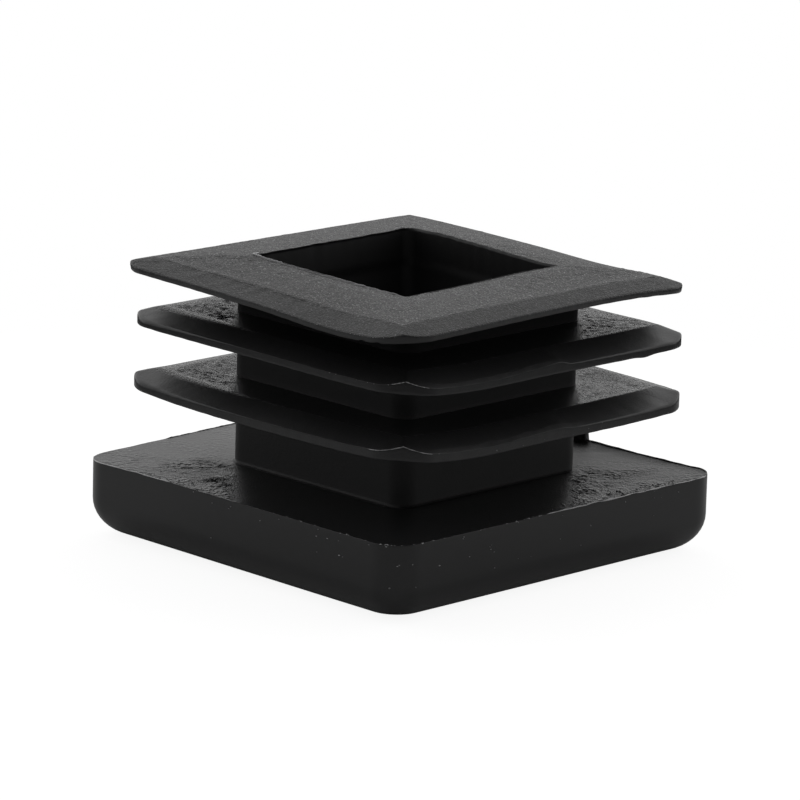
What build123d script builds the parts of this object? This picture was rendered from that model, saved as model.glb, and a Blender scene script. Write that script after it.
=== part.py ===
"""Square ribbed end cap for a square tube, moulded in one piece.

The cap stands on its outer face, with the ribbed spigot pointing up along +Z. The origin is the
middle of the outer face, and the sides of the square run along X and Y. All sizes are in millimetres.
"""

from build123d import *

import os

# Head: the plate that stays outside and covers the end of the tube
head_width = 25.0
head_thickness = 4.3
head_corner_radius = 1.8
head_rim_radius = 2.1

# Core: the square hollow post that carries the ribs
core_width = 13.8
core_corner_radius = 1.1
core_wall = 1.0
hollow_floor = 2.5

# Ribs: thin square collars that flex against the inside of the tube
rib_corner_radius = 2.0
rib_bevel_run = 1.45
rib_bevel_drop = 0.65

lower_rib_width = 22.3
lower_rib_clearance = 3.85
lower_rib_rim = 0.48

middle_rib_width = 22.2
middle_rib_clearance = 2.5
middle_rib_rim = 0.4

# Top rib: dished, so its rim hangs below its root, and its land slopes down to the bevel
top_rib_width = 22.5
top_rib_clearance = 2.13
top_rib_root = 0.95
top_rib_rim = 0.33
top_rib_bevel_drop = 0.47
top_rib_dish = 0.3

# Stub: what is left of the feed tab at the edge of the seat, on the +Y side
stub_length = 5.2
stub_depth = 0.6
stub_height = 0.55
stub_draft = 15.0

# Heights that follow from the sizes above, counted up from the outer face
seat_height = head_thickness
lower_rib_under = seat_height + lower_rib_clearance
lower_rib_top = lower_rib_under + lower_rib_rim + rib_bevel_drop
middle_rib_under = lower_rib_top + middle_rib_clearance
middle_rib_top = middle_rib_under + middle_rib_rim + rib_bevel_drop
top_rib_under = middle_rib_top + top_rib_clearance
mouth_height = top_rib_under + top_rib_root
hollow_width = core_width - 2 * core_wall


def make_rib(width, rim, bevel_drop, root_foot, root_top, dish=0.0):
    """One square collar: an upright rim, a bevel up to the land, and rounded corners.

    A dished collar's rim hangs below its root, so its underside and its land slope down to the rim.
    """
    rim_foot = root_foot - dish
    rim_top = rim_foot + rim
    land_edge = rim_top + bevel_drop
    land_width = width - 2 * rib_bevel_run
    with BuildPart() as rib:
        with BuildSketch(Plane.XY.offset(rim_foot)):
            Rectangle(width, width)
        extrude(amount=rim)
        with BuildSketch(Plane.XY.offset(rim_top)):
            Rectangle(width, width)
        with BuildSketch(Plane.XY.offset(land_edge)):
            Rectangle(land_width, land_width)
        loft(ruled=True)
        if dish > 0:
            with BuildSketch(Plane.XY.offset(land_edge)):
                Rectangle(land_width, land_width)
            with BuildSketch(Plane.XY.offset(root_top)):
                Rectangle(core_width, core_width)
            loft(ruled=True)
            with BuildSketch(Plane.XY.offset(rim_foot)):
                Rectangle(width, width)
            with BuildSketch(Plane.XY.offset(root_foot)):
                Rectangle(core_width, core_width)
            loft(ruled=True, mode=Mode.SUBTRACT)
        with BuildSketch(Plane.XY.offset(rim_foot)):
            RectangleRounded(width, width, rib_corner_radius)
        extrude(amount=root_top - rim_foot, mode=Mode.INTERSECT)
    return rib.part


with BuildPart() as head:
    with BuildSketch():
        RectangleRounded(head_width, head_width, head_corner_radius)
    extrude(amount=head_thickness)
    outer_rim = head.edges().group_by(Axis.Z)[0]
    fillet(outer_rim, head_rim_radius)

lower_rib = make_rib(lower_rib_width, lower_rib_rim, rib_bevel_drop, lower_rib_under, lower_rib_top)
middle_rib = make_rib(middle_rib_width, middle_rib_rim, rib_bevel_drop, middle_rib_under, middle_rib_top)
top_rib = make_rib(
    top_rib_width, top_rib_rim, top_rib_bevel_drop, top_rib_under, mouth_height, dish=top_rib_dish
)

with BuildPart() as end_cap:
    add(head.part)
    with BuildSketch(Plane.XY.offset(seat_height)):
        RectangleRounded(core_width, core_width, core_corner_radius)
    extrude(amount=mouth_height - seat_height)
    add(lower_rib)
    add(middle_rib)
    add(top_rib)
    with BuildSketch(Plane.XY.offset(seat_height)):
        with Locations((0, head_width / 2 - stub_depth / 2)):
            Rectangle(stub_length, stub_depth)
    extrude(amount=stub_height, taper=stub_draft)
    with BuildSketch(Plane.XY.offset(hollow_floor)):
        Rectangle(hollow_width, hollow_width)
    extrude(amount=mouth_height - hollow_floor, mode=Mode.SUBTRACT)

end_cap.part.label = "end_cap"

os.makedirs("parts", exist_ok=True)
export_step(end_cap.part, "parts/end_cap.step")
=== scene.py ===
"""Square tube end cap in black moulded plastic, laid out as a Blender add-on.

The cap stands on its outer face, with the ribbed spigot pointing up. Lengths in the property groups are
in metres, and MM turns a size in millimetres into metres. Angles round the cap are counted from +X
towards +Y, so the corner at -45 degrees faces the camera. A place on the outline is counted in sides
from that corner: 0 at the front corner, 1 at the right one, 2 at the back one and 3 at the left one.
"""

from collections import namedtuple

import bpy
import numpy as np
from mathutils import Matrix, Vector


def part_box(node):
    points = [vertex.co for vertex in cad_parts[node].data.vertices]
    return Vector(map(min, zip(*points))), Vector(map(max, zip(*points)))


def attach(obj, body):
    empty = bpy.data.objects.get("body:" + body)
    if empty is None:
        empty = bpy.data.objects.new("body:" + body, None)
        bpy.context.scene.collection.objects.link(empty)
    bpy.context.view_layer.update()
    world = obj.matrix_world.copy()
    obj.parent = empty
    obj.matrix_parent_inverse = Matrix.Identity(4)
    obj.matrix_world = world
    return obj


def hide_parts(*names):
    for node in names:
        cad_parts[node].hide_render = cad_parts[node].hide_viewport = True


bl_info = {
    "name": "Square Tube End Cap",
    "version": (1, 0, 0),
    "blender": (4, 5, 0),
    "location": "3D View > Sidebar > End Cap",
    "description": "Builds a moulded square end cap with bevelled ribs, its burrs, its plastic and a studio",
    "category": "Object",
}

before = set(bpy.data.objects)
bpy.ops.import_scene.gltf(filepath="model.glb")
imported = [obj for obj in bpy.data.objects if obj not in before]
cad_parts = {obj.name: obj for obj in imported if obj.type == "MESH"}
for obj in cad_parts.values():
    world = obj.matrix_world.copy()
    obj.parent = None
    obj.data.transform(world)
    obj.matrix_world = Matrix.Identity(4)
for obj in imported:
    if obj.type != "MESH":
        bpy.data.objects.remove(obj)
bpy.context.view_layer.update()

MM = 0.001
NODE = "end_cap"
BODY = "root"
CAD_LOW, CAD_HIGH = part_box(NODE)
HEAD_WIDTH = CAD_HIGH.x - CAD_LOW.x

# The order of the 16 heights of a warp, for the descriptions of the properties
PLACES = "front corner, three along the side to its right, right corner, and so on round the cap"

# The numbers that every point of the moulding carries for the material. The third is the share of painted
# glints: pale specks painted on the grain's peaks
LAYERS = ("grain", "dull", "painted_glint", "coarse")


# Property groups


def length(name, description, default=0.0):
    """A property that is a length in metres."""
    return bpy.props.FloatProperty(name=name, description=description, default=default, unit="LENGTH")


def lengths(name, description, size, default=None):
    """A property of several lengths in metres."""
    return bpy.props.FloatVectorProperty(
        name=name, description=description, size=size, default=default or (0.0,) * size, unit="LENGTH"
    )


def angle_of(name, description, degrees):
    """A property that is an angle, kept in radians."""
    return bpy.props.FloatProperty(
        name=name, description=description, default=float(np.radians(degrees)), subtype="ANGLE"
    )


def amount(name, description, default=0.0):
    """A property that is a plain number."""
    return bpy.props.FloatProperty(name=name, description=description, default=default)


def tint(name, description, default):
    """A property that is a colour."""
    return bpy.props.FloatVectorProperty(name=name, description=description, default=default, subtype="COLOR")


class RibSizes(bpy.types.PropertyGroup):
    """One rib: a square collar with an upright rim, a bevel and a flat land."""

    width: length("Width", "Across two sides of the rim")
    underside: length("Underside", "Height of the flat underside above the outer face")
    rim: length("Rim", "Height of the upright rim")
    drop: length("Bevel drop", "How far the bevel falls from the land to the rim")
    crown: length("Crown", "How far the land falls from its root to its edge")
    tuck: length("Tuck", "How far the foot of the rim stands inside its top")
    lip: length("Lip", "Height of the lip on the rim, right of the front corner")
    tip_lift: length("Tip lift", "How much higher the rim is at the right corner")
    bulge: length("Bulge", "How far a bulge hangs from the rim, before the right corner")
    nick: length("Nick", "Depth of the two nicks in the foot of the rim, left of the front corner")
    lip_end: amount("Lip end", "Place where the lip ends")
    lip_step: amount("Lip step", "How softly the lip ends, in sides")
    scuff_end: amount("Scuff end", "Place where the scuffed foot of the bevel ends")
    grain: amount("Grain", "Strength of the grain on the land")
    left_grain: amount("Left grain", "How much stronger it is at the left corner")
    dull: amount("Dullness", "Dullness of the land")
    root_dull: amount("Root dullness", "Dullness of the core above the rib")
    shift: lengths("Shift", "How far the rim stands off the middle of the head", 2)
    warp: lengths("Warp", "Lift of the rim at 16 places: " + PLACES, 16)


class CapSizes(bpy.types.PropertyGroup):
    """The sizes of the moulding."""

    head_width: length("Head width", "Across two sides of the head", HEAD_WIDTH)
    head_thickness: length("Head thickness", "From the outer face to the seat", 4.3 * MM)
    head_corner: length("Head corner", "Radius of the head's upright corners", 1.8 * MM)
    head_round: length("Outer edge", "Radius of the edge round the outer face", 2.1 * MM)
    core_width: length("Core width", "Across two sides of the core", 13.8 * MM)
    core_corner: length("Core corner", "Radius of the core's upright corners", 1.1 * MM)
    hollow_width: length("Hollow width", "Across two sides of the hollow", 11.8 * MM)
    hollow_floor: length("Hollow floor", "Height of the hollow's floor", 2.5 * MM)
    rib_corner: length("Rib corner", "Radius of the ribs' corners", 1.9 * MM)
    front_corner: length("Front corner", "How much larger it is at the front", 0.5 * MM)
    bevel_run: length("Bevel run", "Width of the ribs' bevels seen from above", 1.45 * MM)
    edge_round: length("Edge rounding", "Radius of the moulded edges", 0.06 * MM)
    stub_length: length("Stub length", "Length of the feed stub along the seat's edge", 5.2 * MM)
    stub_depth: length("Stub depth", "Thickness of the feed stub", 0.6 * MM)
    stub_height: length("Stub height", "Height of the feed stub over the seat", 0.55 * MM)
    stub_draft: angle_of("Stub draft", "How far the sides of the feed stub lean inwards", 6)
    core_shift: lengths(
        "Core shift", "How far the core stands off the middle of the head", 2, (0.15 * MM, 0.12 * MM)
    )
    seat_warp: lengths("Seat warp", "Lift of the seat's edge at 16 places: " + PLACES, 16)
    mouth_warp: lengths("Mouth warp", "Lift of the hollow's mouth at 16 places: " + PLACES, 16)
    mouth_spread: lengths(
        "Mouth spread",
        "How far the mouth's corners stand out of true: front, right, back and left",
        4,
        (0.15 * MM, -0.2 * MM, 0.0, 0.05 * MM),
    )
    columns: bpy.props.IntProperty(
        name="Columns", description="Columns of faces in an eighth of the way round", default=46, min=12
    )
    lower: bpy.props.PointerProperty(type=RibSizes, name="Lower rib")
    middle: bpy.props.PointerProperty(type=RibSizes, name="Middle rib")
    top: bpy.props.PointerProperty(type=RibSizes, name="Top rib")


class PlasticLook(bpy.types.PropertyGroup):
    """Colour, grain and gloss of the plastic."""

    colour: tint("Colour", "Black of the plastic", (0.011, 0.011, 0.0115))
    # The stressed grey is partly the whitening of torn plastic and partly painted glints and highlights on
    # burrs, crumbs and edges
    whitening_and_glint: tint("Stressed colour", "Grey of burrs and crumbs, where the plastic was torn", (0.75, 0.75, 0.76))
    grain: length("Grain", "Size of the eroded grain", 0.11 * MM)
    grain_depth: length("Grain depth", "Height of the eroded grain", 0.035 * MM)
    # Painted glints: the grain's highest peaks are painted this share of the way to the pale grey
    painted_glints: amount("Specks", "How pale the grain's highest peaks are", 0.32)
    gloss: amount("Roughness", "Roughness where the layer dull is 0", 0.16)
    dull_step: amount("Dullness", "How much more roughness there is where the layer dull is 1", 0.3)


class StudioLook(bpy.types.PropertyGroup):
    """Camera, floor and light."""

    azimuth: angle_of("Azimuth", "How far the camera is turned from -Y towards +X", 45.368)
    elevation: angle_of("Elevation", "How far the camera looks down", 13.755)
    roll: angle_of("Roll", "How far the camera leans to its left", 1.515)
    distance: length("Distance", "From the cap's origin to the camera", 300.24 * MM)
    aim_right: length("Aim right", "How far to its right the camera stands", -0.108 * MM)
    aim_up: length("Aim up", "How far up the camera stands", 7.749 * MM)
    lens: bpy.props.FloatProperty(
        name="Lens", description="Focal length on a sensor 36 mm wide", default=244.34, unit="CAMERA"
    )
    sky_back: amount("Sky behind", "Strength of the soft light from behind the cap", 1.15)
    sky_front: amount("Sky in front", "Strength of the soft light from the camera's side", 0.22)
    sky_top: amount("Overhead", "Share of the soft light that comes from straight above", 0.12)
    sky_low: amount("Below the floor", "Strength of the light from below the horizon", 0.06)
    lamp_power: amount("Lamp power", "Power of the lamp in watts", 0.06)
    lamp_size: length("Lamp size", "Width of the lamp", 0.5)
    lamp_place: lengths("Lamp place", "Where the lamp stands. It points at the cap", 3, (-0.15, -0.1, 0.5))
    floor_radius: length("Floor radius", "Radius of the pale floor under the cap", 54 * MM)
    floor_gap: length("Floor gap", "How far the floor lies under the outer face", 0.01 * MM)
    floor: tint("Floor", "Colour of the floor as the cap and the lamps see it", (0.71, 0.71, 0.71))
    floor_shade: tint("Shaded floor", "Part of the white floor that takes the shadow", (0.25, 0.25, 0.25))
    floor_glow: amount("Floor glow", "Part of the white floor that takes no shadow", 0.9)


# Surfaces


def angles_round(columns):
    """Angles of the columns of faces, from +X once round.

    From the middle of a side to its corner the angle is 45 degrees times a share of s plus the rest of
    sin(s * 90 degrees), s from 0 to 1. That puts a column on each corner and crowds the columns there.
    """
    even_share = 0.45
    s = np.arange(columns + 1) / columns
    half = np.pi / 4 * (even_share * s + (1 - even_share) * np.sin(np.pi / 2 * s))
    quarter = np.concatenate([half[:-1], np.pi / 2 - half[:0:-1]])
    return np.concatenate([quarter + turn * np.pi / 2 for turn in range(4)])


def side_place(angle):
    """How far round the outline a column is: 0 at the front corner, 1 at the right one, then 2 and 3.

    Between two corners it grows evenly along the side: half of 1 plus the tangent from the side's middle.
    """
    side = np.floor((angle + np.pi / 4) / (np.pi / 2))
    return np.mod(side + 0.5 * (1 + np.tan(angle - side * np.pi / 2)), 4)


def place_angle(place):
    """The angle of a place on the outline: the quarter turns before it, plus arctan(2 * rest - 1)."""
    side = np.floor(place)
    return side * np.pi / 2 + np.arctan(2 * (place - side) - 1)


def soft_step(value, start, width):
    """0 before the start and 1 after it: half of 1 plus tanh of the distance over the width."""
    return 0.5 * (1 + np.tanh((value - start) / width))


def front_share(place):
    """1 on the two sides that meet at the front corner and 0 on the other two, with a soft step between."""
    apart = abs(np.mod(place + 2, 4) - 2)
    return 1 - soft_step(apart, 1, 0.07)


def square_reach(half, angle):
    """Distance from the axis to a plain square: half its width over the larger of |cos| and |sin|."""
    return half / np.maximum(abs(np.cos(angle)), abs(np.sin(angle)))


def rounded_reach(half, corner, angle):
    """Distance from the axis to a square with rounded corners.

    Along a side it is that of the plain square. At a corner the ray meets a circle about the point that
    lies a radius inside both sides: the larger root of the circle's equation along the ray.
    """
    c = np.maximum(abs(np.cos(angle)), abs(np.sin(angle)))
    s = np.minimum(abs(np.cos(angle)), abs(np.sin(angle)))
    inner = half - corner
    along = inner * (c + s)
    root = np.sqrt(np.maximum(along**2 - 2 * inner**2 + corner**2, 0))
    return np.where(half * s <= inner * c, half / c, along + root)


def wobble(angle, seed, lowest, highest):
    """An uneven closed wave about 1 high: cosines with whole numbers of waves and random phases, added up."""
    rng = np.random.default_rng(seed)
    waves = np.arange(lowest, highest + 1)
    phases = rng.uniform(0, 2 * np.pi, len(waves))
    wave = np.cos(np.outer(angle, waves) + phases).sum(1)
    return wave / (2 * np.sqrt(len(waves)))


def near(place, centre, reach):
    """A bell of height 1 about a place on the outline: exp of minus the square of distance over reach."""
    apart = np.mod(place - centre + 2, 4) - 2
    return np.exp(-((apart / reach) ** 2))


def warp_round(values, place):
    """A smooth closed curve through 16 heights, four to a side: at the corner and at 0.2, 0.5 and 0.8.

    Between two heights it is the cubic whose slopes there are those of the line through the neighbours.
    """
    at = np.add.outer(np.arange(4), [0.0, 0.2, 0.5, 0.8]).ravel()
    at = np.concatenate([at[-2:] - 4, at, at[:3] + 4])
    v = np.asarray(values, float)
    v = np.concatenate([v[-2:], v, v[:3]])
    slope = np.gradient(v, at)
    i = np.clip(np.searchsorted(at, place, side="right") - 1, 0, len(at) - 2)
    span = at[i + 1] - at[i]
    t = (place - at[i]) / span
    return (
        v[i] * (1 + 2 * t) * (1 - t) ** 2
        + slope[i] * span * t * (1 - t) ** 2
        + v[i + 1] * t**2 * (3 - 2 * t)
        + slope[i + 1] * span * t**2 * (t - 1)
    )


def beside_core(sizes, x, y):
    """1 to the left and right of the core's corners and 0 between them, with a soft step.

    The step depends on |x + y|, which grows with the distance from the diagonal through the front and
    back corners.
    """
    corner = 0.962 * sizes.core_width
    return soft_step(abs(x + y - sum(sizes.core_shift)), corner, 0.18 * MM)


def grit_field(x, y, cell, seed):
    """Rough skin of the moulding: random heights from -1 to 1 on a square lattice, smoothly joined.

    Between four lattice points the height is their mean weighted by t * t * (3 - 2 * t) along x and y.
    """
    cells = 256
    lattice = np.random.default_rng(seed).uniform(-1, 1, (cells, cells))
    column, row = np.floor(x / cell).astype(int), np.floor(y / cell).astype(int)
    s, t = x / cell - column, y / cell - row
    s, t = s * s * (3 - 2 * s), t * t * (3 - 2 * t)
    value = 0.0
    for across, weight in ((0, 1 - s), (1, s)):
        for along, share in ((0, 1 - t), (1, t)):
            value = value + weight * share * lattice[(column + across) % cells, (row + along) % cells]
    return value


# The corners of the moulding's outline and the rows of points between them. Profile says what they hold
Knot = namedtuple("Knot", "point radius rows skin rib shift")
Row = namedtuple("Row", "point skin rib shift inner")


class Profile:
    """The outline of the moulding in each upright half plane through the axis, as a list of knots.

    A knot has a distance from the axis and a height for every column, the radius that rounds it, and
    for the stretch after it the number of rows, the rib, the share of the core shift and the skin: the
    amounts of grain, dullness, painted glints (pale specks painted on the grain's peaks) and coarse
    grain, how much of them lies in front of the core, and how patchy they are.
    """

    PLAIN = {"grain": 0.0, "dull": 0.0, "painted_glint": 0.0, "coarse": 0.0, "kept": 1.0, "patchy": 0.0}

    def __init__(self, angle):
        self.angle = angle
        self.place = side_place(angle)
        self.knots = []

    def knot(self, reach, height, radius=0.0, rows=1, rib=-1, shift=1.0, **skin):
        """Adds a corner of the outline."""
        full = np.ones_like(self.angle)
        point = np.stack([reach * full, height * full])
        self.knots.append(Knot(point, radius, rows, list((self.PLAIN | skin).values()), rib, shift))

    def rows(self):
        """Rows of points, each with its skin, its rib and its share of the core shift.

        A stretch has rows that crowd towards its ends, by half of 1 minus the cosine. A rounded knot gets
        four rows on the curve (1-b)^2 A + 2 b (1-b) B + b^2 C, where B is the knot, and A and C lie the
        radius before and after it. Inner is 0 on a knot and 1 well inside a stretch.
        """
        out = []
        final = len(self.knots) - 1
        for k, knot in enumerate(self.knots):
            before, after = self.knots[max(k - 1, 0)], self.knots[min(k + 1, final)]
            start = knot.point
            if np.any(knot.radius > 0):
                a = self.step(knot.point, before.point, knot.radius)
                c = self.step(knot.point, after.point, knot.radius)
                rib = knot.rib if knot.rib >= 0 else before.rib
                for b in (0.0, 0.33, 0.67, 1.0):
                    point = (1 - b) ** 2 * a + 2 * b * (1 - b) * knot.point + b**2 * c
                    skin = [old * (1 - b) + new * b for old, new in zip(before.skin, knot.skin)]
                    out.append(Row(point, skin, rib, before.shift * (1 - b) + knot.shift * b, 0.0))
                start = c
            else:
                out.append(Row(knot.point, knot.skin, knot.rib, knot.shift, 0.0))
            if k == final:
                continue
            end = after.point
            if np.any(after.radius > 0):
                end = self.step(after.point, knot.point, after.radius)
            for n in range(1, knot.rows):
                t = 0.5 * (1 - np.cos(np.pi * n / knot.rows))
                shift = knot.shift + (after.shift - knot.shift) * t
                inner = min(1.0, 7 * t * (1 - t))
                out.append(Row(start + (end - start) * t, knot.skin, knot.rib, shift, inner))
        return out

    @staticmethod
    def step(point, towards, length):
        """The point that lies a length away from a point in the direction of another."""
        gap = towards - point
        return point + gap * (length / np.maximum(np.hypot(gap[0], gap[1]), 1e-9))


def closed_surface(points, first, last):
    """Vertices and faces of a grid of points, rows by columns, whose columns close round.

    A pole closes each end. Faces run column first, so they point outwards where the rows climb and the
    columns turn from +X to +Y.
    """
    rows, columns = points.shape[:2]
    index = np.arange(rows * columns).reshape(rows, columns)
    beside = np.roll(index, -1, axis=1)
    quads = np.stack([index[:-1], beside[:-1], beside[1:], index[1:]], axis=-1).reshape(-1, 4)
    pole = rows * columns
    faces = quads.tolist()
    faces += [[pole, b, a] for a, b in zip(index[0].tolist(), beside[0].tolist())]
    faces += [[a, b, pole + 1] for a, b in zip(index[-1].tolist(), beside[-1].tolist())]
    return np.vstack([points.reshape(-1, 3), first, last]), faces


def make_piece(name, surfaces):
    """One smooth mesh object made of closed surfaces, each given as its vertices and faces."""
    vertices, faces, count = [], [], 0
    for points, corners in surfaces:
        vertices.append(points)
        faces += [[corner + count for corner in face] for face in corners]
        count += len(points)
    mesh = bpy.data.meshes.new(name)
    mesh.from_pydata(np.vstack(vertices).tolist(), [], faces)
    mesh.polygons.foreach_set("use_smooth", np.ones(len(mesh.polygons), bool))
    mesh.validate()
    mesh.update()
    piece = bpy.data.objects.new(name, mesh)
    bpy.context.scene.collection.objects.link(piece)
    return piece


def small_pieces(name, grids, grain, dull, pales):
    """One object of many small closed grids, each with its own paleness."""
    surfaces = [closed_surface(grid, grid[0].mean(0), grid[-1].mean(0)) for grid in grids]
    piece = make_piece(name, surfaces)
    sizes = [len(points) for points, faces in surfaces]
    write_layer(piece, "grain", np.full(sum(sizes), grain))
    write_layer(piece, "dull", np.full(sum(sizes), dull))
    write_layer(piece, "whitening_and_glint", np.repeat(pales, sizes))
    return piece


def write_layer(piece, name, values):
    """Keeps a number for every point of the piece, for its material to read."""
    layer = piece.data.attributes.new(name, "FLOAT", "POINT")
    layer.data.foreach_set("value", np.asarray(values, np.float32))


def strand(path, side, wide, tall, round_steps=8):
    """Points of a thin strand that follows a path, rows along it and columns round it.

    A point is the path plus wide * cos(t) along the side direction plus tall * sin(t) along the one
    square to it and to the path, t from 0 to a full turn. Wide and tall may change along the path.
    """
    t = np.linspace(0, 2 * np.pi, round_steps, endpoint=False)
    ahead = np.gradient(path, axis=0)
    ahead /= np.linalg.norm(ahead, axis=1)[:, None]
    side = side - (side * ahead).sum(1)[:, None] * ahead
    side /= np.linalg.norm(side, axis=1)[:, None]
    up = np.cross(ahead, side)
    across = np.multiply.outer(wide, np.cos(t))[:, :, None] * side[:, None, :]
    upright = np.multiply.outer(tall, np.sin(t))[:, :, None] * up[:, None, :]
    return path[:, None, :] + across + upright


def blob(centre, size, seed, rows=7, columns=9):
    """Points of a crumb: a ball whose radius is size * (1 + 0.35 * a product of two random waves)."""
    rng = np.random.default_rng(seed)
    tilt = np.linspace(-np.pi / 2, np.pi / 2, rows + 2)[1:-1, None]
    turn = np.linspace(0, 2 * np.pi, columns, endpoint=False)[None, :]
    first, second = rng.uniform(0, 2 * np.pi, 2)
    radius = 1 + 0.35 * np.cos(3 * turn + first) * np.cos(2 * tilt + second)
    level = np.cos(tilt)
    ball = np.stack([level * np.cos(turn), level * np.sin(turn), np.sin(tilt) * np.ones_like(turn)], -1)
    return np.asarray(centre) + radius[:, :, None] * ball * np.asarray(size)


# Shapes of the moulding


def core_reach(sizes, angle):
    """Distance from the axis to the sides of the core."""
    return rounded_reach(sizes.core_width / 2, sizes.core_corner, angle)


def rib_reach(sizes, rib, angle, place):
    """Distance from the axis to a rib's rim, whose corners are rounder towards the front corner."""
    corner = sizes.rib_corner + sizes.front_corner * near(place, 0.0, 0.5)
    return rounded_reach(rib.width / 2, corner, angle)


def bevel_share(sizes, rib, reach, angle):
    """How far up the bevel the rim's top stands: 0 along a side, and more at a corner, up to 1.

    The bevel is a pyramid's face: its height depends on half the width of the square through the point,
    so the rounded corner cuts an arch into the top of the rim.
    """
    half_through = reach * np.maximum(abs(np.cos(angle)), abs(np.sin(angle)))
    return np.clip((rib.width / 2 - half_through) / sizes.bevel_run, 0, 1)


def worn_corners(place):
    """How much rounder the ribs' edges are about the right, left and back corners."""
    return near(place, 1.0, 0.32) + near(place, 3.0, 0.22) + near(place, 2.0, 0.5)


def seat_edge(sizes, angle, place):
    """Height of the seat's edge: its thickness, warp, small dents, and chips about the front corner.

    The dents are deeper where the edge is worn, in the middle of the two near sides.
    """
    depth = 0.012 + 0.04 * near(place, 0.72, 0.2) + 0.02 * near(place, 3.35, 0.15)
    dents = depth * MM * wobble(angle, 6, 20, 90)
    chips = near(place, 0.0, 0.22) * 0.03 * MM * wobble(angle, 5, 90, 140)
    return sizes.head_thickness + warp_round(sizes.seat_warp, place) + dents + chips


def add_head(profile, sizes):
    """Outer face, rounded outer edge and sides.

    The outer edge is a quarter circle, a little tighter at the front corner. The corners of the square
    close more slowly than the circle moves in, so that they stay round at the outer face.
    """
    angle, place = profile.angle, profile.place
    half = sizes.head_width / 2
    turn = sizes.head_round - 0.27 * MM * near(place, 0.0, 0.7)
    flat = half - turn
    closing = 0.6 - 0.35 * near(place, 0.0, 0.5)
    profile.knot(rounded_reach(flat * 0.5, 0.3 * MM, angle), 0.0, rows=4, dull=0.6, shift=0.0)
    steps, side_rows = 12, 8
    for n, a in enumerate(np.linspace(0, np.pi / 2, steps)):
        width = flat + turn * np.sin(a)
        reach = rounded_reach(width, sizes.head_corner - closing * (half - width), angle)
        rows = side_rows if n == steps - 1 else 1
        profile.knot(reach, turn * (1 - np.cos(a)), rows=rows, dull=0.5, shift=0.0)


def add_seat(profile, sizes):
    """The seat with its worn edge, its eroded patches and a valley at the far right, and the core's foot."""
    angle, place = profile.angle, profile.place
    half = sizes.head_width / 2
    right_worn, left_worn = near(place, 0.68, 0.28), near(place, 3.36, 0.3)
    skin = {
        "grain": 0.4 + 0.4 * front_share(place) + 5.0 * right_worn + 3.2 * left_worn,
        "dull": 0.5 + 0.95 * near(place, 1.3, 0.5) + 0.45 * near(place, 2.9, 0.5),
        # Painted glints on the seat: pale specks on the grain's peaks, more where it is worn
        "painted_glint": 0.3 + 0.5 * right_worn + 0.5 * left_worn,
        "coarse": 0.7,
        "kept": 0.06,
        "patchy": 0.6,
    }
    edge = rounded_reach(half, sizes.head_corner, angle)
    edge_round = 0.03 * MM + 0.03 * MM * near(place, 0.95, 0.06)
    profile.knot(edge, seat_edge(sizes, angle, place), edge_round, rows=5, shift=0.0, **skin)
    inside = 0.6 * MM
    ring = rounded_reach(half - inside, sizes.head_corner - inside, angle)
    valley = 0.24 * MM * near(place, 1.5, 0.42) * (0.75 + 0.2 * wobble(angle, 7, 14, 60))
    height = sizes.head_thickness + warp_round(sizes.seat_warp, place) - valley
    profile.knot(ring, height, 0.5 * MM, rows=20, shift=0.0, **skin)
    profile.knot(core_reach(sizes, angle), sizes.head_thickness, 0.015 * MM, rows=7, dull=1.5, grain=0.1)


def add_rib(profile, sizes, rib, number, last):
    """Underside and rim of a rib, with its lip, its bulge and its nicks, and then its bevel and land."""
    angle, place = profile.angle, profile.place
    edge = rib_reach(sizes, rib, angle, place) + 0.012 * MM * wobble(angle, 20 + number, 25, 110)
    uneven_top = 0.01 * MM * wobble(angle, 30 + number, 30, 120)
    uneven_foot = 0.012 * MM * wobble(angle, 40 + number, 20, 90)
    rim_top = rib.underside + rib.rim + bevel_share(sizes, rib, edge, angle) * (rib.drop - rib.crown)
    lip_start = 0.31
    lip = rib.lip * np.clip((place - lip_start) / (rib.lip_end - lip_start), 0, 1) ** 1.3
    lip = lip * (1 - soft_step(place, rib.lip_end, rib.lip_step))
    rim_top = rim_top + uneven_top + lip + rib.tip_lift * near(place, 1.04, 0.1)
    nicks = rib.nick * (near(place, 3.867, 0.006) + near(place, 3.914, 0.006))
    bulge = rib.bulge * near(place, 0.82, 0.026)
    foot = rib.underside + uneven_foot + nicks - bulge
    profile.knot(core_reach(sizes, angle), rib.underside, 0.03 * MM, rows=7, dull=1.5, rib=number)
    profile.knot(edge - rib.tuck, foot, sizes.edge_round, rows=3, grain=0.1, dull=0.45, rib=number)
    add_bevel = add_top_bevel if last else add_lower_bevel
    add_bevel(profile, sizes, rib, number, edge, rim_top)


def add_top_bevel(profile, sizes, rib, number, edge, rim_top):
    """Bevel and land of the top rib, grained all over, with a small uneven step between them at the left."""
    angle, place = profile.angle, profile.place
    brow = sizes.edge_round * (1.6 + 1.2 * worn_corners(place))
    land = rib.underside + rib.rim + rib.drop - rib.crown
    land_edge = square_reach(rib.width / 2 - sizes.bevel_run, angle)
    step = near(place, 3.45, 0.42) * 0.1 * MM * (1 + 0.5 * wobble(angle, 65, 20, 80))
    apart = 0.12 * MM
    # The third amount of each skin paints glints, as pale specks on the grain's peaks
    bevel_skin = {"grain": 1.2, "dull": 1.25, "painted_glint": 0.35}
    step_skin = {"grain": 1.8, "dull": 1.0, "painted_glint": 0.5}
    land_skin = {"grain": 1.7, "dull": 1.15, "painted_glint": 1.0}
    profile.knot(edge, rim_top, brow, rows=9, rib=number, **bevel_skin)
    profile.knot(land_edge + apart, land - step, 0.08 * MM, rows=3, rib=number, **step_skin)
    profile.knot(land_edge - apart, land, 0.1 * MM, rows=22, rib=number, **land_skin)


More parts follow.
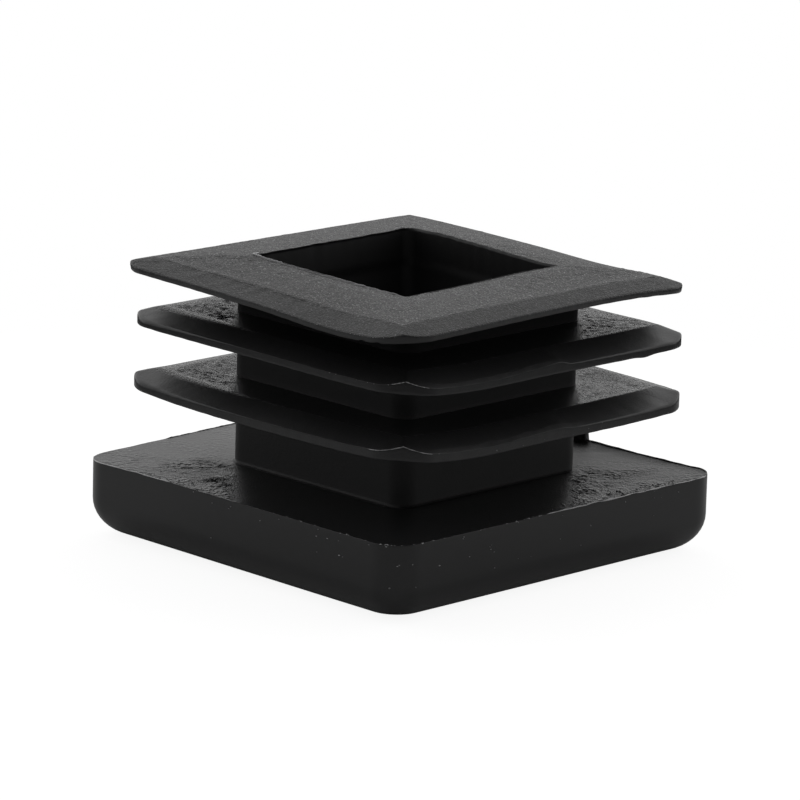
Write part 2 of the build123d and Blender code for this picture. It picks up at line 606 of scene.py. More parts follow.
def add_lower_bevel(profile, sizes, rib, number, edge, rim_top):
    """Bevel and land of a lower rib, and the core above it.

    The bevel is smooth, with faint streaks and a scuffed foot at the front right. The land is eroded
    left and right of the core, and its crease is worn at the left and the back.
    """
    angle, place = profile.angle, profile.place
    root = rib.underside + rib.rim + rib.drop
    land = root - rib.crown
    land_edge = square_reach(rib.width / 2 - sizes.bevel_run, angle)
    keen = 0.1 + 0.3 * near(place, 0.02, 0.12)
    brow = sizes.edge_round * (keen + 2.0 * worn_corners(place)) + 0.1 * MM * near(place, 3.0, 0.25)
    tips = near(place, 1.0, 0.13) + near(place, 3.0, 0.13)
    bevel_dull = 0.75 + 0.12 * wobble(angle, 60 + number, 2, 10) - 0.4 * tips
    scuffed = 1.4 * np.clip(place / 0.3, 0, 1) * (1 - soft_step(place, rib.scuff_end, 0.012))
    scuffed = scuffed * np.clip(0.7 + 0.6 * wobble(angle, 62 + number, 10, 60), 0, 1.3)
    scuff_share = 0.22 + 0.08 * wobble(angle, 64 + number, 8, 50)
    scuff_reach = edge + scuff_share * (land_edge - edge)
    scuff_height = rim_top + scuff_share * (land - rim_top)
    crease = (0.08 + 0.4 * near(place, 3.0, 0.32) + 0.3 * near(place, 2.0, 0.5)) * MM
    grain = rib.grain + rib.left_grain * near(place, 3.0, 0.8)
    # The land gets painted glints, pale specks on the grain's peaks, at full strength
    skin = {"grain": grain, "dull": rib.dull, "painted_glint": 1.0, "kept": 0.05}
    profile.knot(edge, rim_top, brow, rows=3, grain=0.12, dull=bevel_dull + scuffed, rib=number)
    profile.knot(scuff_reach, scuff_height, rows=4, grain=0.12, dull=bevel_dull, rib=number)
    profile.knot(land_edge, land, crease, rows=20, rib=number, **skin)
    profile.knot(core_reach(sizes, angle), root, 0.01 * MM, rows=5, dull=rib.root_dull, grain=0.1)


def mouth_edge(sizes, angle, place):
    """Reach and height of the hollow's brim: a plain square with a rounded back corner, spread and warped."""
    wall = rounded_reach(sizes.hollow_width / 2, 0.15 * MM + 0.5 * MM * near(place, 2.0, 0.3), angle)
    spread = sum(out * near(place, corner, 0.45) for corner, out in enumerate(sizes.mouth_spread))
    wavy = 0.035 * MM * wobble(angle, 51, 6, 48)
    height = sizes.top.underside + sizes.top.rim + sizes.top.drop + warp_round(sizes.mouth_warp, place)
    return wall, spread + wavy, height + 0.5 * wavy


def add_hollow(profile, sizes):
    """Mouth, walls and floor of the hollow. The spread of the mouth's corners fades on the way down."""
    wall, spread, brim = mouth_edge(sizes, profile.angle, profile.place)
    middle = rounded_reach(sizes.hollow_width / 10, 0.3 * MM, profile.angle)
    profile.knot(wall + spread, brim, 0.05 * MM, rows=6, dull=0.9, shift=0.25)
    profile.knot(wall + 0.3 * spread, brim - 2.5 * MM, 0.5 * MM, rows=7, dull=1.4, shift=0.6)
    profile.knot(wall, sizes.hollow_floor, 0.15 * MM, rows=5, dull=1.0)
    profile.knot(middle, sizes.hollow_floor, dull=1.0)


def cap_points(sizes):
    """Points of the whole moulding, rows by columns, and the numbers of its four layers.

    A row of the profile turns into x = reach cos + shift, y = reach sin + shift and z = height + lift. The
    lift is the rib's warp times the share of the way out from the core to the rim, to the power 1.25.
    Where the grain is strong, two grit fields roughen the surface. All layers but the dullness fade in
    front of the core and in patches, the painted glints with them, and the ribs' lands are duller in
    front of the core.
    """
    warp_power = 1.25
    grit = 0.018 * MM
    fine_cell, wide_cell, patch_cell = 0.13 * MM, 0.3 * MM, 1.3 * MM
    shaded_dull = 0.7
    profile = Profile(angles_round(sizes.columns))
    angle, place = profile.angle, profile.place
    ribs = [sizes.lower, sizes.middle, sizes.top]
    add_head(profile, sizes)
    add_seat(profile, sizes)
    for number, rib in enumerate(ribs):
        add_rib(profile, sizes, rib, number, last=number == 2)
    add_hollow(profile, sizes)
    rows = profile.rows()
    points = np.zeros((len(rows), len(angle), 3))
    layers = np.zeros((len(LAYERS), *points.shape[:2]))
    full = np.ones_like(angle)
    core = core_reach(sizes, angle)
    core_shift = np.array(sizes.core_shift)
    lifts = [warp_round(rib.warp, place) for rib in ribs]
    rims = [rib_reach(sizes, rib, angle, place) for rib in ribs]
    for n, row in enumerate(rows):
        reach, height = row.point
        aside = np.outer(row.shift * core_shift, full)
        if row.rib >= 0:
            out = np.clip((reach - core) / (rims[row.rib] - core), 0, 1.1)
            height = height + lifts[row.rib] * out**warp_power
            aside += np.outer(np.array(ribs[row.rib].shift) - core_shift, np.clip(out, 0, 1))
        x = reach * np.cos(angle) + aside[0]
        y = reach * np.sin(angle) + aside[1]
        grain, dull, painted_glint, coarse, kept, patchy = row.skin
        beside = beside_core(sizes, x, y)
        patches = np.clip(0.6 + 1.3 * grit_field(x, y, patch_cell, 97), 0.1, 1.2)
        share = (kept + (1 - kept) * beside) * (1 - patchy + patchy * patches)
        fine = grit_field(x, y, fine_cell, row.rib + 80) + 0.5 * grit_field(x, y, wide_cell, row.rib + 90)
        rough = row.inner * grit * share * np.clip(grain - 0.3, 0, 4) * fine
        points[n] = np.stack([x, y, height + rough], -1)
        if row.rib >= 0:
            dull = dull + shaded_dull * (1 - kept) * (1 - beside)
        layers[:, n] = [grain * share, dull * full, painted_glint * share, coarse * share]
    return points, layers


def stub_points(sizes):
    """Points of the feed stub, rows by columns: a drafted block with rounded corners and a torn top.

    The outline is |x / a| ^ 5 + |y / b| ^ 5 = 1. Its half sides a and b shrink with the height by the
    draft, and then go to the top's middle in a few rows, whose heights are a random wave.
    """
    half_long, half_deep = sizes.stub_length / 2, sizes.stub_depth / 2
    turn = np.linspace(0, 2 * np.pi, 96, endpoint=False)
    power = 0.4
    long = half_long * np.sign(np.cos(turn)) * abs(np.cos(turn)) ** power
    deep = half_deep * np.sign(np.sin(turn)) * abs(np.sin(turn)) ** power
    seat = sizes.head_thickness
    torn = 0.05 * MM * wobble(turn, 61, 3, 30)
    draft = np.tan(sizes.stub_draft)
    points = []
    for share in (-0.08, 0.0, 0.2, 0.4, 0.6, 0.8, 0.93):
        inset = draft * max(share, 0) * sizes.stub_height
        x = long * (1 - inset / half_long)
        y = deep * (1 - inset / half_deep)
        z = seat + share * sizes.stub_height + torn * max(share, 0)
        points.append(np.stack([x, y, z * np.ones_like(x)], -1))
    rim = points[-1]
    for share in (0.92, 0.7, 0.4, 0.15):
        inner = rim * [share * 0.5 + 0.5, share, 1]
        lift = sizes.stub_height * 0.08 * (1 - share) + 0.6 * torn * share
        lift = lift + 0.03 * MM * wobble(turn, 63, 2, 20)
        inner[:, 2] = rim[:, 2] * share + (seat + sizes.stub_height) * (1 - share) + lift * 0.4
        points.append(inner)
    points = np.array(points)
    points[:, :, 1] += sizes.head_width / 2 - half_deep
    return points


def edge_path(sizes, places, reach, height, shift):
    """Points along an edge: x = reach cos + shift, y = reach sin + shift and z = height."""
    angle = place_angle(places)
    x = reach * np.cos(angle) + sizes.core_shift[0] * shift
    y = reach * np.sin(angle) + sizes.core_shift[1] * shift
    return np.stack([x, y, height * np.ones_like(x)], -1)


def uneven(count, seed, lowest):
    """Shares from a lowest one to 1 along a strand: smoothed random numbers that fade out at both ends."""
    rng = np.random.default_rng(seed)
    smooth = np.convolve(rng.uniform(-1, 1, count + 8), np.ones(5) / 5, "same")[4 : count + 4]
    share = lowest + (1 - lowest) * np.clip(0.5 + smooth, 0, 1)
    ends = np.minimum(np.arange(count), np.arange(count)[::-1])
    return share * np.clip(ends / 3, 0.05, 1)


def flash_strand(sizes, line, first, last, wide, tall, seed, lowest, count=90):
    """Points of a thin fin of flash along a line from one place to another.

    The line is a function of the places that gives their reach, height and share of the core shift.
    """
    places = np.linspace(first, last, count)
    path = edge_path(sizes, places, *line(places))
    angle = place_angle(places)
    side = np.stack([np.cos(angle), np.sin(angle), np.zeros(count)], -1)
    return strand(path, side, wide * uneven(count, seed, lowest), tall * uneven(count, seed + 1, lowest), 6)


def flash_piece(name, sizes, strands, dull):
    """One object of strands of flash.

    A strand has its line, its first and last place, half its width and half its height in millimetres,
    its seed, its lowest share and its paleness.
    """
    grids, pales = [], []
    for line, first, last, wide, tall, seed, lowest, whitening_and_glint in strands:
        grids.append(flash_strand(sizes, line, first, last, wide * MM, tall * MM, seed, lowest))
        pales.append(whitening_and_glint)
    return small_pieces(name, grids, 0.3, dull, pales)


def mouth_line(sizes, inwards, raised):
    """The edge of the hollow's mouth, as a line for flash and crumbs."""

    def line(places):
        angle = place_angle(places)
        wall, spread, height = mouth_edge(sizes, angle, np.mod(places, 4))
        return wall + spread - inwards + 0.02 * MM * wobble(angle, 72, 30, 130), height + raised, 0.25

    return line


def brim_line(sizes, inwards=0.0, raised=0.0):
    """The edge of the seat, as a line for flash and crumbs."""

    def line(places):
        angle = place_angle(places)
        reach = rounded_reach(sizes.head_width / 2, sizes.head_corner, angle) - inwards
        return reach, seat_edge(sizes, angle, np.mod(places, 4)) + raised, 0.0

    return line


def rim_line(sizes, rib):
    """The upper edge of a rib's rim, as a line for flash and crumbs.

    Its share of the core shift is the one that gives the rib's own shift along X.
    """

    def line(places):
        angle = place_angle(places)
        place = np.mod(places, 4)
        reach = rib_reach(sizes, rib, angle, place)
        share = bevel_share(sizes, rib, reach, angle)
        height = rib.underside + rib.rim + share * (rib.drop - rib.crown) + warp_round(rib.warp, place)
        return reach, height, rib.shift[0] / sizes.core_shift[0]

    return line


def core_foot_line(sizes, outwards):
    """The foot of the core on the seat, as a line for flash."""

    def line(places):
        return core_reach(sizes, place_angle(places)) + outwards, sizes.head_thickness, 1.0

    return line


# Materials


def new_group(name, inputs, outputs):
    """A shader node group with its two end nodes. An input is a label, a kind and a default."""
    group = bpy.data.node_groups.new(name, "ShaderNodeTree")
    for label, kind, default in inputs:
        socket = group.interface.new_socket(name=label, in_out="INPUT", socket_type=kind)
        if default is not None:
            socket.default_value = default
    for label, kind in outputs:
        group.interface.new_socket(name=label, in_out="OUTPUT", socket_type=kind)
    return group, group.nodes.new("NodeGroupInput"), group.nodes.new("NodeGroupOutput")


def maths(nodes, links, operation, first, second=None, third=None, clamp=False):
    """A Math node on up to three numbers or sockets, and its result."""
    node = nodes.new("ShaderNodeMath")
    node.operation = operation
    node.use_clamp = clamp
    for socket, value in zip(node.inputs, (first, second, third)):
        if value is None:
            continue
        if isinstance(value, (int, float)):
            socket.default_value = value
        else:
            links.new(value, socket)
    return node.outputs[0]


def noise(nodes, links, where, scale, detail=2.0, roughness=0.5):
    """A Noise Texture on coordinates, and its number."""
    node = nodes.new("ShaderNodeTexNoise")
    links.new(where, node.inputs["Vector"])
    if isinstance(scale, (int, float)):
        node.inputs["Scale"].default_value = scale
    else:
        links.new(scale, node.inputs["Scale"])
    node.inputs["Detail"].default_value = detail
    node.inputs["Roughness"].default_value = roughness
    return node.outputs["Fac"]


def eroded_grain_group():
    """Grain that a spark-eroded mould leaves: flat-topped pits and peaks on larger soft waves."""
    name = "Eroded grain"
    if name in bpy.data.node_groups:
        return bpy.data.node_groups[name]
    group, start, end = new_group(
        name,
        [
            ("Where", "NodeSocketVector", None),
            ("Grain size", "NodeSocketFloat", 0.17 * MM),
            ("Contrast", "NodeSocketFloat", 2.6),
            ("Amount", "NodeSocketFloat", 1.0),
            ("Coarse", "NodeSocketFloat", 0.0),
        ],
        [("Height", "NodeSocketFloat"), ("Peaks", "NodeSocketFloat")],
    )
    nodes, links = group.nodes, group.links
    wide_scale = 0.36
    peak_level, peak_gain = 0.57, 12.0
    where, coarse = start.outputs["Where"], start.outputs["Coarse"]
    scale = maths(nodes, links, "DIVIDE", 1.0, start.outputs["Grain size"])
    fine = noise(nodes, links, where, scale, 2.0, 0.6)
    wide = noise(nodes, links, where, maths(nodes, links, "MULTIPLY", scale, wide_scale), 1.5)
    heights = []
    for value in (fine, wide):
        centred = maths(nodes, links, "SUBTRACT", value, 0.5)
        heights.append(
            maths(nodes, links, "MULTIPLY_ADD", centred, start.outputs["Contrast"], 0.5, clamp=True)
        )
    crisp = maths(nodes, links, "MULTIPLY", heights[0], maths(nodes, links, "SUBTRACT", 1.0, coarse))
    soft = maths(nodes, links, "MULTIPLY", heights[1], maths(nodes, links, "MULTIPLY_ADD", coarse, 1.4, 0.4))
    both = maths(nodes, links, "ADD", crisp, soft)
    links.new(maths(nodes, links, "MULTIPLY", both, start.outputs["Amount"]), end.inputs["Height"])
    above = maths(nodes, links, "SUBTRACT", fine, peak_level)
    links.new(maths(nodes, links, "MULTIPLY", above, peak_gain, clamp=True), end.inputs["Peaks"])
    return group


def plastic_material(look):
    """Black plastic: grain on the flats, a soft sheen on bevels and sides, pale tears and painted glints."""
    name = "black plastic"
    if name in bpy.data.materials:
        return bpy.data.materials[name]
    material = bpy.data.materials.new(name)
    material.use_nodes = True
    nodes, links = material.node_tree.nodes, material.node_tree.links
    shader = nodes["Principled BSDF"]
    shader.inputs["IOR"].default_value = 1.5
    layers = {}
    for layer in (*LAYERS, "whitening_and_glint"):
        node = nodes.new("ShaderNodeAttribute")
        node.attribute_name = layer
        layers[layer] = node.outputs["Fac"]
    grain = nodes.new("ShaderNodeGroup")
    grain.node_tree = eroded_grain_group()
    links.new(nodes.new("ShaderNodeTexCoord").outputs["Object"], grain.inputs["Where"])
    grain.inputs["Grain size"].default_value = look.grain
    links.new(layers["grain"], grain.inputs["Amount"])
    links.new(layers["coarse"], grain.inputs["Coarse"])
    bump = nodes.new("ShaderNodeBump")
    bump.inputs["Strength"].default_value = 1.0
    bump.inputs["Distance"].default_value = look.grain_depth
    links.new(grain.outputs["Height"], bump.inputs["Height"])
    links.new(bump.outputs["Normal"], shader.inputs["Normal"])
    rough = maths(nodes, links, "MULTIPLY_ADD", layers["dull"], look.dull_step, look.gloss)
    links.new(rough, shader.inputs["Roughness"])
    # A Mix node on colours takes its share in input 0 and the colours in 6 and 7, and gives output 2
    mix = nodes.new("ShaderNodeMix")
    mix.data_type = "RGBA"
    mix.inputs[6].default_value = (*look.colour, 1)
    mix.inputs[7].default_value = (*look.whitening_and_glint, 1)
    # Painted glints and highlights: the grain's peaks and the whitening-and-glint layer turn the black
    # towards the pale grey, which on torn plastic is also its own whitening
    peaks = maths(nodes, links, "MULTIPLY", grain.outputs["Peaks"], look.painted_glints)
    painted_glint = maths(nodes, links, "MULTIPLY", peaks, layers["painted_glint"])
    links.new(maths(nodes, links, "ADD", layers["whitening_and_glint"], painted_glint, clamp=True), mix.inputs[0])
    links.new(mix.outputs[2], shader.inputs["Base Color"])
    return material


# Operators


def finish_piece(piece, material, replaced=False):
    """Gives a piece its material and hangs it on the body's empty. A piece that replaces the CAD part hides
    it.
    """
    piece.data.materials.append(material)
    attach(piece, BODY)
    if replaced:
        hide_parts(NODE)


class BuildMoulding(bpy.types.Operator):
    """Build the head, the hollow core and the three ribs as one closed surface"""

    bl_idname = "end_cap.build_moulding"
    bl_label = "Build moulding"

    def execute(self, context):
        sizes = context.scene.cap_sizes
        points, layers = cap_points(sizes)
        bottom = [0.0, 0.0, 0.0]
        floor = [sizes.core_shift[0], sizes.core_shift[1], sizes.hollow_floor]
        piece = make_piece("end_cap_moulding", [closed_surface(points, bottom, floor)])
        for name, values in zip(LAYERS, layers):
            write_layer(piece, name, np.append(values.ravel(), [values[0].mean(), values[-1].mean()]))
        finish_piece(piece, plastic_material(context.scene.plastic_look), replaced=True)
        return {"FINISHED"}


class BuildFeedStub(bpy.types.Operator):
    """Build what is left of the feed tab at the far edge of the seat, with its torn top"""

    bl_idname = "end_cap.build_feed_stub"
    bl_label = "Build feed stub"

    def execute(self, context):
        points = stub_points(context.scene.cap_sizes)
        top = points[-1].mean(0)
        bottom = points[0].mean(0)
        piece = make_piece("feed_stub", [closed_surface(points, bottom, top)])
        torn_from, grain, dull = 0.8, 0.5, 0.6
        torn = np.repeat(np.linspace(0, 1, len(points)) > torn_from, points.shape[1])
        fleck = 0.5 * np.random.default_rng(8).uniform(0, 0.35, len(torn)) ** 2
        # The last two values are those of the poles
        write_layer(piece, "grain", np.append(np.full(len(torn), grain), [0, grain]))
        write_layer(piece, "dull", np.full(len(torn) + 2, dull))
        write_layer(piece, "whitening_and_glint", np.append(torn * fleck, [0, 0]))
        finish_piece(piece, plastic_material(context.scene.plastic_look))
        return {"FINISHED"}


class BuildMouthFlash(bpy.types.Operator):
    """Build the thin torn flash round the mouth of the hollow"""

    bl_idname = "end_cap.build_mouth_flash"
    bl_label = "Build mouth flash"

    def execute(self, context):
        sizes = context.scene.cap_sizes
        # The paleness is partly whitened flash and partly painted glints along the mouth's edge
        fins = [
            # inwards, raised, first place, last place, half width, half height, seed, paleness
            (0.01, 0.03, 3.03, 3.2, 0.03, 0.05, 11, 0.8),
            (0.01, 0.02, 3.2, 3.52, 0.025, 0.03, 12, 0.25),
            (0.01, 0.03, 3.5, 3.97, 0.03, 0.04, 13, 0.5),
            (-0.14, 0.01, 3.05, 3.9, 0.02, 0.03, 15, 0.5),
            (0.0, 0.01, 2.5, 2.96, 0.03, 0.03, 17, 0.4),
            (0.03, 0.05, 2.965, 3.05, 0.09, 0.07, 19, 1.0),
            (0.0, 0.03, 2.02, 2.09, 0.05, 0.09, 21, 0.7),
            (0.0, 0.0, 1.1, 1.9, 0.012, 0.02, 23, 0.08),
            (0.0, 0.0, 0.05, 0.9, 0.012, 0.018, 25, 0.05),
        ]
        lowest = 0.1
        strands = []
        for inwards, raised, *run, whitening_and_glint in fins:
            strands.append((mouth_line(sizes, inwards * MM, raised * MM), *run, lowest, whitening_and_glint))
        piece = flash_piece("mouth_flash", sizes, strands, 1.0)
        finish_piece(piece, plastic_material(context.scene.plastic_look))
        return {"FINISHED"}


class BuildEdgeFlash(bpy.types.Operator):
    """Build the fine ridges of flash on the seat's edge, the ribs' rims and the foot of the core"""

    bl_idname = "end_cap.build_edge_flash"
    bl_label = "Build edge flash"

    def execute(self, context):
        sizes = context.scene.cap_sizes
        # The pale strands are partly whitened flash and partly painted highlights along the seat's edge and
        # the rims' tops
        strands = [
            # line, first place, last place, half width, half height, seed, lowest share, paleness
            (brim_line(sizes, 0.04 * MM, 0.02 * MM), 0.95, 1.98, 0.04, 0.07, 31, 0.45, 0.0),
            (brim_line(sizes, 0.04 * MM), 2.3, 2.75, 0.05, 0.06, 49, 0.2, 0.0),
            (brim_line(sizes, 0.02 * MM), 2.98, 3.3, 0.03, 0.04, 33, 0.5, 0.7),
            (brim_line(sizes, 0.02 * MM), 3.3, 3.5, 0.02, 0.03, 35, 0.2, 0.4),
            (brim_line(sizes, 0.02 * MM, 0.02 * MM), 0.45, 0.97, 0.06, 0.06, 37, 0.1, 0.6),
            (rim_line(sizes, sizes.middle), 3.95, 4.08, 0.02, 0.03, 41, 0.1, 0.5),
            (rim_line(sizes, sizes.lower), 3.88, 4.1, 0.02, 0.03, 43, 0.1, 0.5),
            (core_foot_line(sizes, 0.01 * MM), 3.03, 3.3, 0.015, 0.02, 45, 0.2, 0.0),
            (core_foot_line(sizes, 0.01 * MM), 3.36, 3.62, 0.015, 0.02, 47, 0.2, 0.0),
        ]
        piece = flash_piece("edge_flash", sizes, strands, 0.8)
        finish_piece(piece, plastic_material(context.scene.plastic_look))
        return {"FINISHED"}


class ScatterCrumbs(bpy.types.Operator):
    """Scatter the crumbs of torn plastic that cling to the head, the seat and the ribs"""

    bl_idname = "end_cap.scatter_crumbs"
    bl_label = "Scatter crumbs"

    def execute(self, context):
        sizes = context.scene.cap_sizes
        rng = np.random.default_rng(4)
        brim = brim_line(sizes)
        middle, lower, top = (rim_line(sizes, rib) for rib in (sizes.middle, sizes.lower, sizes.top))
        # The crumbs' paleness is partly whitened torn plastic and partly painted glints
        runs = [
            # line, first place, last place, count, smallest, largest, palest, furthest down, furthest in
            (brim, 3.5, 4.45, 40, 0.015, 0.045, 0.6, 0.0, 0.1),
            (brim, 3.35, 4.3, 26, 0.025, 0.05, 0.6, 2.6, 0.0),
            (brim, 4.2, 4.95, 18, 0.025, 0.045, 0.4, 2.2, 0.0),
            (brim, 4.48, 4.9, 110, 0.02, 0.07, 0.2, 0.0, 1.1),
            (brim, 3.15, 3.5, 60, 0.02, 0.045, 0.15, 0.0, 1.6),
            (middle, 3.74, 4.08, 14, 0.015, 0.03, 0.5, 0.0, 0.0),
            (lower, 3.86, 4.12, 16, 0.015, 0.035, 0.5, 0.0, 0.0),
            (lower, 4.3, 4.8, 8, 0.02, 0.03, 0.35, 0.4, 0.0),
            (top, 3.5, 4.0, 12, 0.015, 0.03, 0.4, 0.0, 0.0),
            (top, 4.955, 4.975, 7, 0.02, 0.03, 0.5, 0.0, 0.35),
        ]
        grids, pales = [], []
        for line, first, last, count, smallest, largest, palest, down, inwards in runs:
            places = rng.uniform(first, last, count)
            reach, height, shift = line(places)
            height = height - down * MM * rng.uniform(0.1, 1, count) ** 1.5
            reach = reach - inwards * MM * rng.uniform(0, 1, count)
            centres = edge_path(sizes, places, reach, height, shift)
            for centre, size in zip(centres, rng.uniform(smallest, largest, count)):
                stretch = rng.uniform([0.8, 0.8, 0.4], [1.4, 1.4, 0.9])
                grids.append(blob(centre, size * MM * stretch, int(rng.integers(1000)), 5, 7))
                pales.append(palest * rng.uniform(0.3, 1))
        piece = small_pieces("moulding_crumbs", grids, 0.2, 0.8, pales)
        finish_piece(piece, plastic_material(context.scene.plastic_look))
        return {"FINISHED"}


class SetStudio(bpy.types.Operator):
    """Set the pale floor, the soft light and the camera"""

    bl_idname = "end_cap.set_studio"
    bl_label = "Set studio"

    def execute(self, context):
        look = context.scene.studio_look
        make_floor(look)
        make_sky(context.scene, look)
        make_lamp(context.scene, look)
        make_camera(context.scene, look)
        return {"FINISHED"}


def make_floor(look):
    """A plain pale disc for a floor. The camera sees it white, with the cap's shadow on it."""
    turn = np.linspace(0, 2 * np.pi, 128, endpoint=False)
    x, y = look.floor_radius * np.cos(turn), look.floor_radius * np.sin(turn)
    rim = np.stack([x, y, np.full(len(turn), -look.floor_gap)], -1)
    mesh = bpy.data.meshes.new("studio_floor")
    mesh.from_pydata(rim.tolist(), [], [list(range(len(turn)))])
    floor = bpy.data.objects.new("studio_floor", mesh)
    bpy.context.scene.collection.objects.link(floor)
    material = bpy.data.materials.new("studio floor")
    material.use_nodes = True
    nodes, links = material.node_tree.nodes, material.node_tree.links
    nodes.remove(nodes["Principled BSDF"])
    plain = nodes.new("ShaderNodeBsdfDiffuse")
    plain.inputs["Color"].default_value = (*look.floor, 1)
    shaded = nodes.new("ShaderNodeBsdfDiffuse")
    shaded.inputs["Color"].default_value = (*look.floor_shade, 1)
    glow = nodes.new("ShaderNodeEmission")
    glow.inputs["Strength"].default_value = look.floor_glow
    seen = nodes.new("ShaderNodeAddShader")
    links.new(shaded.outputs[0], seen.inputs[0])
    links.new(glow.outputs[0], seen.inputs[1])
    mix = nodes.new("ShaderNodeMixShader")
    links.new(nodes.new("ShaderNodeLightPath").outputs["Is Camera Ray"], mix.inputs[0])
    links.new(plain.outputs[0], mix.inputs[1])
    links.new(seen.outputs[0], mix.inputs[2])
    links.new(mix.outputs[0], nodes["Material Output"].inputs["Surface"])
    mesh.materials.append(material)


def make_sky(scene, look):
    """Soft light all round, stronger behind the cap, and white to the camera.

    The strength goes from the front's to the back's with (d + 0.5) / 0.9, held between 0 and 1, where d
    is the direction's part that points level from the camera's side to behind the cap. It falls to the
    overhead share from 53 to 72 degrees above the horizon, and to the low light below the horizon.
    """
    ahead, spread = 0.5, 0.9
    horizon, horizon_gain = 0.02, 25.0
    steep_start, steep_reach = 0.8, 0.15
    world = bpy.data.worlds.new("studio")
    world.use_nodes = True
    nodes, links = world.node_tree.nodes, world.node_tree.links
    sky = nodes["Background"]
    sky.inputs["Color"].default_value = (1, 1, 1, 1)
    direction = nodes.new("ShaderNodeTexCoord").outputs["Generated"]
    level = nodes.new("ShaderNodeVectorMath")
    level.operation = "DOT_PRODUCT"
    links.new(direction, level.inputs[0])
    level.inputs[1].default_value = (-np.sin(look.azimuth), np.cos(look.azimuth), 0)
    share = maths(nodes, links, "ADD", level.outputs["Value"], ahead)
    share = maths(nodes, links, "DIVIDE", share, spread, clamp=True)
    upper = maths(nodes, links, "MULTIPLY_ADD", share, look.sky_back - look.sky_front, look.sky_front)
    parts = nodes.new("ShaderNodeSeparateXYZ")
    links.new(direction, parts.inputs[0])
    above = maths(nodes, links, "ADD", parts.outputs["Z"], horizon)
    above = maths(nodes, links, "MULTIPLY", above, horizon_gain, clamp=True)
    steep = maths(nodes, links, "SUBTRACT", parts.outputs["Z"], steep_start)
    steep = maths(nodes, links, "DIVIDE", steep, steep_reach, clamp=True)
    shade = maths(nodes, links, "MULTIPLY_ADD", steep, look.sky_top - 1, 1.0)
    upper = maths(nodes, links, "MULTIPLY", upper, shade)
    upper = maths(nodes, links, "SUBTRACT", upper, look.sky_low)
    strength = maths(nodes, links, "MULTIPLY_ADD", upper, above, look.sky_low)
    links.new(strength, sky.inputs["Strength"])
    white = nodes.new("ShaderNodeBackground")
    white.inputs["Color"].default_value = (1, 1, 1, 1)
    mix = nodes.new("ShaderNodeMixShader")
    links.new(nodes.new("ShaderNodeLightPath").outputs["Is Camera Ray"], mix.inputs[0])
    links.new(sky.outputs[0], mix.inputs[1])
    links.new(white.outputs[0], mix.inputs[2])
    links.new(mix.outputs[0], nodes["World Output"].inputs["Surface"])
    scene.world = world


def make_lamp(scene, look):
    """One wide, weak lamp overhead that points at the cap."""
    data = bpy.data.lights.new("soft_lamp", "AREA")
    data.shape = "SQUARE"
    data.size = look.lamp_size
    data.energy = look.lamp_power
    lamp = bpy.data.objects.new("soft_lamp", data)
    lamp.location = look.lamp_place
    lamp.rotation_euler = Vector(look.lamp_place).to_track_quat("Z", "Y").to_euler()
    scene.collection.objects.link(lamp)


def make_camera(scene, look):
    """The camera: distance along its own back, then moved along its own right and up, then rolled."""
    turn, tilt, roll = look.azimuth, look.elevation, look.roll
    back = Vector((np.sin(turn) * np.cos(tilt), -np.cos(turn) * np.cos(tilt), np.sin(tilt)))
    right = Vector((np.cos(turn), np.sin(turn), 0))
    up = back.cross(right)
    place = back * look.distance + right * look.aim_right + up * look.aim_up
    leaned_right = right * np.cos(roll) + up * np.sin(roll)
    leaned_up = up * np.cos(roll) - right * np.sin(roll)
    data = bpy.data.cameras.new("camera")
    data.lens = look.lens
    data.sensor_width = 36.0
    data.clip_start = 0.01
    camera = bpy.data.objects.new("camera", data)
    axes = Matrix((leaned_right, leaned_up, back)).transposed()
    camera.matrix_world = Matrix.Translation(place) @ axes.to_4x4()
    scene.collection.objects.link(camera)
    scene.camera = camera
    scene.view_settings.view_transform = "Standard"


class EndCapPanel(bpy.types.Panel):
    """The steps of the end cap, in order."""

    bl_label = "End Cap"
    bl_idname = "VIEW3D_PT_end_cap"
    bl_space_type = "VIEW_3D"
    bl_region_type = "UI"
    bl_category = "End Cap"

    def draw(self, context):
        for step in STEPS:
            self.layout.operator(step.bl_idname)


STEPS = (BuildMoulding, BuildFeedStub, BuildMouthFlash, BuildEdgeFlash, ScatterCrumbs, SetStudio)
CLASSES = (RibSizes, CapSizes, PlasticLook, StudioLook, *STEPS, EndCapPanel)

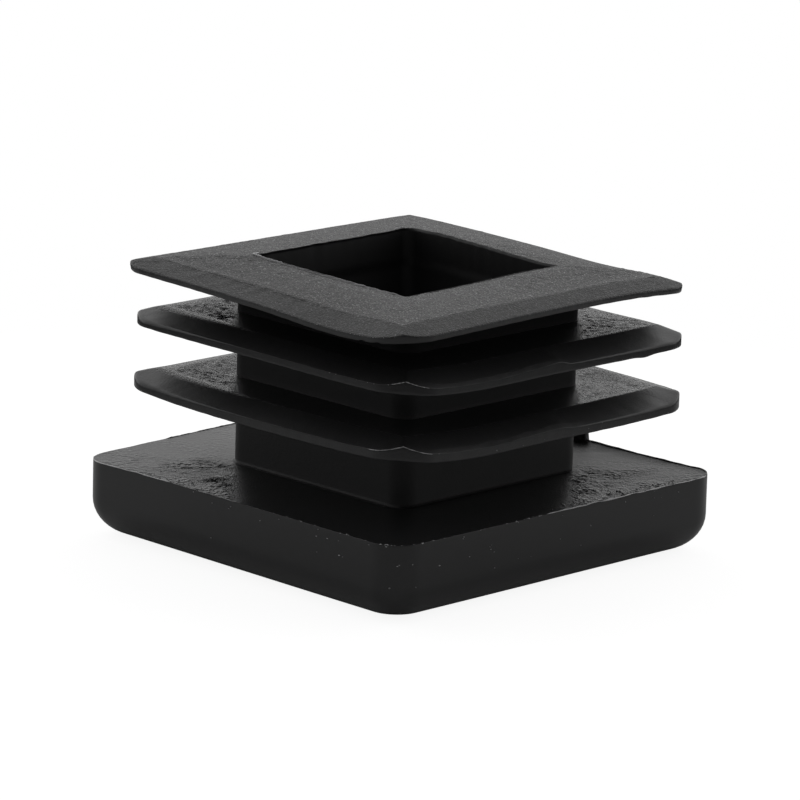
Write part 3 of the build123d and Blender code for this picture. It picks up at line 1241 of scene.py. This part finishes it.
# What each rib has of its own. Lengths, shifts and warps are in millimetres.
RIBS = {
    "lower": {
        "lengths": {
            "width": 22.3, "underside": 8.05, "rim": 0.48, "drop": 0.67, "lip": 0.2, "tip_lift": 0.16,
        },
        "ends": {"lip_end": 0.56, "lip_step": 0.03, "scuff_end": 0.6},
        "skin": {"grain": 1.4, "left_grain": 1.0, "dull": 0.0, "root_dull": 1.7},
        "shift": (0.18, 0.16),
        "warp": (
            0.23, -0.15, -0.18, -0.17, -0.02, 0.33, 0.26, 0.2,
            0.2, 0.22, 0.32, 0.41, 0.38, 0.12, 0.02, 0.1,
        ),
    },
    "middle": {
        "lengths": {
            "width": 22.2, "underside": 11.78, "rim": 0.4, "drop": 0.65, "lip": 0.26, "bulge": 0.08,
        },
        "ends": {"lip_end": 0.54, "lip_step": 0.016, "scuff_end": 0.535},
        "skin": {"grain": 1.8, "left_grain": 0.7, "dull": 0.1, "root_dull": 2.6},
        "shift": (0.22, 0.2),
        "warp": (
            0.07, -0.24, -0.25, -0.28, -0.24, -0.27, -0.12, 0.0,
            0.05, 0.08, 0.16, 0.19, 0.18, 0.12, 0.08, 0.03,
        ),
    },
    "top": {
        "lengths": {
            "width": 22.5, "underside": 14.96, "rim": 0.33, "drop": 0.61, "crown": 0.25,
            "tuck": 0.08, "nick": 0.1,
        },
        "ends": {"lip_end": 0.5, "lip_step": 0.01},
        "skin": {},
        "shift": (0.05, 0.02),
        "warp": (
            -0.37, -0.28, -0.16, -0.18, -0.44, -0.65, -0.41, -0.26,
            -0.24, -0.19, -0.12, -0.05, 0.0, -0.09, -0.3, -0.61,
        ),
    },
}

# Lifts of the seat's edge and of the hollow's mouth at the same 16 places, in millimetres
SEAT_WARP = (0.0, 0.0, 0.0, 0.0, 0.0, -0.1, -0.12, -0.08, 0.0, 0.05, 0.06, -0.03, -0.08, 0.0, 0.0, 0.0)
MOUTH_WARP = (-0.2, -0.2, -0.17, -0.12, -0.13, -0.12, 0.0, 0.08, 0.03, 0.0, 0.0, 0.0, 0.0, -0.05, -0.13, -0.2)


def set_sizes(sizes):
    """Writes the warps and each rib's own sizes into the property groups."""
    sizes.seat_warp = [lift * MM for lift in SEAT_WARP]
    sizes.mouth_warp = [lift * MM for lift in MOUTH_WARP]
    for name, own in RIBS.items():
        rib = getattr(sizes, name)
        rib.shift = [length * MM for length in own["shift"]]
        rib.warp = [lift * MM for lift in own["warp"]]
        for label, value in own["lengths"].items():
            setattr(rib, label, value * MM)
        for label, value in (own["ends"] | own["skin"]).items():
            setattr(rib, label, value)


def register():
    """Registers the classes and hangs the property groups on the scene."""
    for item in CLASSES:
        bpy.utils.register_class(item)
    bpy.types.Scene.cap_sizes = bpy.props.PointerProperty(type=CapSizes)
    bpy.types.Scene.plastic_look = bpy.props.PointerProperty(type=PlasticLook)
    bpy.types.Scene.studio_look = bpy.props.PointerProperty(type=StudioLook)


def unregister():
    """Takes the property groups off the scene and the classes out."""
    del bpy.types.Scene.studio_look
    del bpy.types.Scene.plastic_look
    del bpy.types.Scene.cap_sizes
    for item in reversed(CLASSES):
        bpy.utils.unregister_class(item)


def main():
    """Registers the add-on, writes the sizes into the property groups, and builds the cap and the studio."""
    register()
    set_sizes(bpy.context.scene.cap_sizes)
    bpy.ops.end_cap.build_moulding()
    bpy.ops.end_cap.build_feed_stub()
    bpy.ops.end_cap.build_mouth_flash()
    bpy.ops.end_cap.build_edge_flash()
    bpy.ops.end_cap.scatter_crumbs()
    bpy.ops.end_cap.set_studio()


if __name__ == "__main__":
    main()
